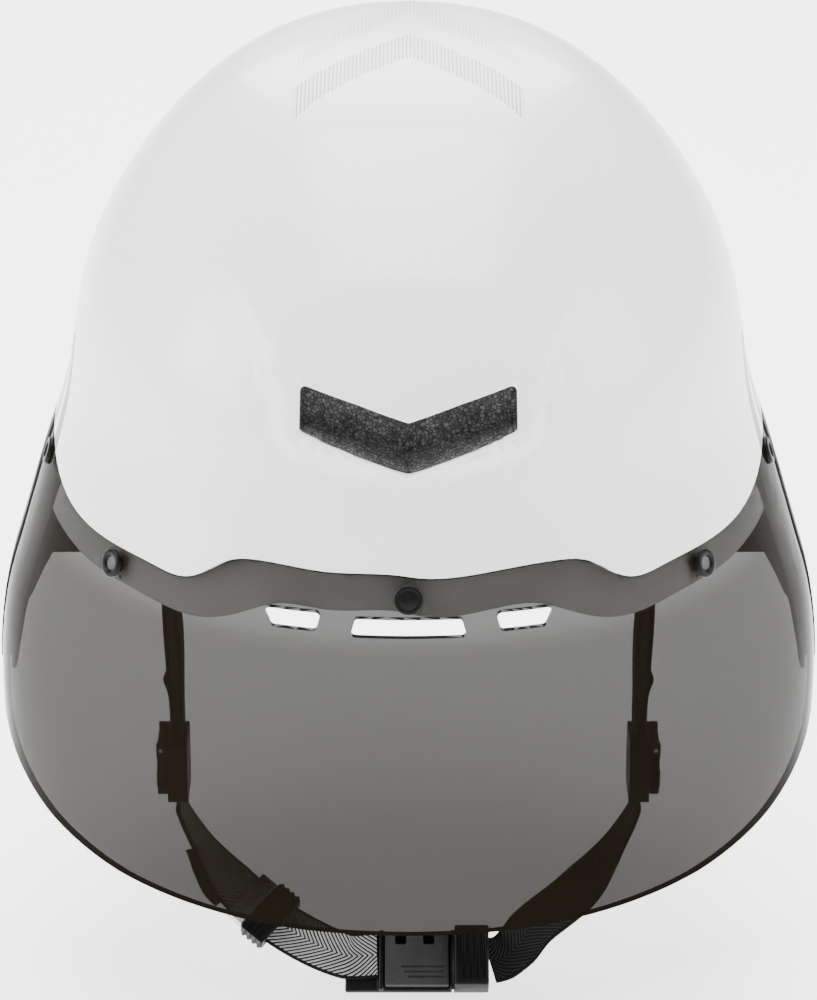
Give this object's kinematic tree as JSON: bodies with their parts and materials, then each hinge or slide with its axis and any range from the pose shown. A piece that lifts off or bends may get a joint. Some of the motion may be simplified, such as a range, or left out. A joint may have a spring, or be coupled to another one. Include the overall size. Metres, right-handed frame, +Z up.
{
  "type": "time trial cycling helmet with visor",
  "caption": "Smooth rounded cycling helmet with a wide magnetic wrap visor, front air intake, dial fit cradle and chin strap with a magnetic buckle.",
  "frame": {"origin": "centre of the head opening, level with the middle of the brow rim", "axes": "+Z up through the crown, -Y forwards, +X to the picture's right (the wearer's left when worn)"},
  "size_m": [0.2582, 0.2983, 0.2995],
  "materials": {
    "shell_white": "satin white polycarbonate",
    "shell_black": "matt black moulded polycarbonate",
    "foam": "black expanded foam, beaded",
    "pad": "brushed knit over foam",
    "lens": "smoked polycarbonate",
    "button_black": "black moulded",
    "magnet": "nickel plated",
    "fit_plastic": "nylon",
    "dial": "soft-touch grip",
    "gear": "acetal",
    "strap_plastic": "acetal",
    "tongue_grey": "satin grey",
    "pin_steel": "steel",
    "keeper_metal": "satin silver",
    "webbing": "woven polyester"
  },
  "bodies": {
    "helmet": {"outer_shell": "shell_white", "lower_shell": "shell_black", "brow_rim": "shell_white", "foam_liner": "foam", "brow_pad": "pad", "crown_pad": "pad", "side_pad_left": "pad", "side_pad_right": "pad", "rim_keepers": "magnet", "buckle_magnet": "magnet", "temple_band_left": "fit_plastic", "temple_band_right": "fit_plastic", "temple_studs": "fit_plastic", "strap_divider_left": "strap_plastic", "strap_divider_right": "strap_plastic", "buckle_base": "strap_plastic", "lever_pin_left": "pin_steel", "lever_pin_right": "pin_steel", "strap_keeper": "keeper_metal", "strap_front_left": "webbing", "strap_front_right": "webbing", "strap_rear_left": "webbing", "strap_rear_right": "webbing", "strap_chin_left": "webbing", "strap_chin_right": "webbing"},
    "visor": {"visor_lens": "lens", "visor_button_front": "button_black", "visor_buttons_side": "button_black", "visor_magnets": "magnet"},
    "cradle": {"cradle": "fit_plastic", "cradle_pad_left": "pad", "cradle_pad_right": "pad", "dial_housing": "fit_plastic"},
    "nape_plate": {"nape_plate": "fit_plastic"},
    "fit_dial": {"fit_dial": "dial", "dial_pinion": "gear"},
    "rack_upper": {"rack_upper": "gear"},
    "rack_lower": {"rack_lower": "gear"},
    "cam_lever_left": {"cam_lever_left": "strap_plastic"},
    "cam_lever_right": {"cam_lever_right": "strap_plastic"},
    "buckle_tongue": {"buckle_tongue": "tongue_grey", "tongue_magnet": "magnet"},
    "strap_slider": {"strap_slider": "strap_plastic"}
  },
  "joints": [
    {"name": "visor_pull", "type": "slide", "parent": "helmet", "child": "visor", "axis": [0, -1, 0], "range_m": [0, 0.14]},
    {"name": "dial_turn", "type": "hinge", "parent": "cradle", "child": "fit_dial", "pos_m": [0, 0.09985, -0.04763], "axis": [0, 1, 0], "range_deg": [0, 135]},
    {"name": "cradle_slide", "type": "slide", "parent": "helmet", "child": "cradle", "axis": [0, -0.91, 0.4147], "range_m": [0, 0.01226]},
    {"name": "rack_upper_slide", "type": "slide", "parent": "cradle", "child": "rack_upper", "axis": [1, 0, 0], "range_m": [0, 0.01226]},
    {"name": "rack_lower_slide", "type": "slide", "parent": "cradle", "child": "rack_lower", "axis": [-1, 0, 0], "range_m": [0, 0.01226]},
    {"name": "nape_height", "type": "slide", "parent": "cradle", "child": "nape_plate", "axis": [0, 0, 1], "range_m": [-0.005, 0.005]},
    {"name": "lever_left_open", "type": "hinge", "parent": "helmet", "child": "cam_lever_left", "pos_m": [-0.0791, -0.006, -0.098], "axis": [0, 1, 0], "range_deg": [0, 75]},
    {"name": "lever_right_open", "type": "hinge", "parent": "helmet", "child": "cam_lever_right", "pos_m": [0.0791, -0.006, -0.098], "axis": [0, -1, 0], "range_deg": [0, 75]},
    {"name": "tongue_release", "type": "slide", "parent": "helmet", "child": "buckle_tongue", "axis": [0, -0.7431, -0.6691], "range_m": [0, 0.016]},
    {"name": "slider_slide", "type": "slide", "parent": "helmet", "child": "strap_slider", "axis": [0.7648, -0.437, -0.4734], "range_m": [0, 0.0101]}
  ],
  "couplings": [
    {"joint": "cradle_slide", "follows": "dial_turn", "m_per_rad": 0.0052},
    {"joint": "rack_upper_slide", "follows": "dial_turn", "m_per_rad": 0.0052},
    {"joint": "rack_lower_slide", "follows": "dial_turn", "m_per_rad": 0.0052}
  ]
}
